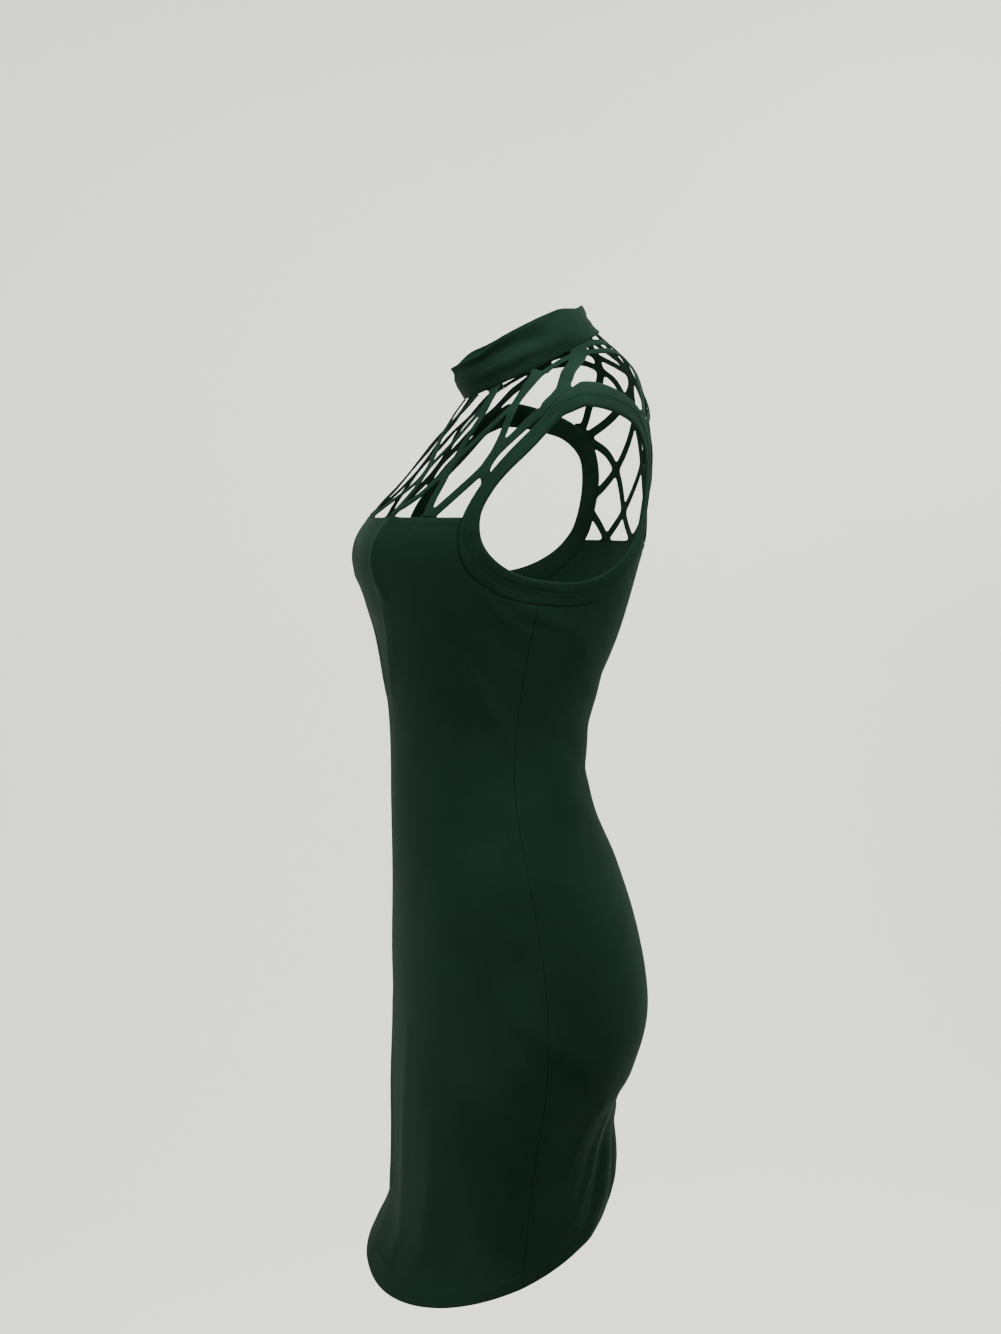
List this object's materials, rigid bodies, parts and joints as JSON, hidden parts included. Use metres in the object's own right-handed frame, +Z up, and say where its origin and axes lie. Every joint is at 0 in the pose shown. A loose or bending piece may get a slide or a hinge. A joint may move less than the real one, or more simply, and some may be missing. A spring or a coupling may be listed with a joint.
{
  "type": "bodycon dress",
  "caption": "Sleeveless bodycon mini dress in dark green stretch knit, with a leaning stand collar, a yoke of crossing straps and wide armhole bands.",
  "frame": {"origin": "between the shoulders, at the height where the armhole bands rest on them", "axes": "+Z up, -Y to the front of the dress, +X to the wearer's left"},
  "size_m": [0.3422, 0.263, 0.875],
  "materials": {
    "knit": "smooth satiny stretch knit"
  },
  "bodies": {
    "root": {"front_panel": "knit", "back_panel": "knit", "front_lattice": "knit", "back_lattice": "knit", "collar": "knit", "armhole_band_left": "knit", "armhole_band_right": "knit"}
  },
  "joints": []
}
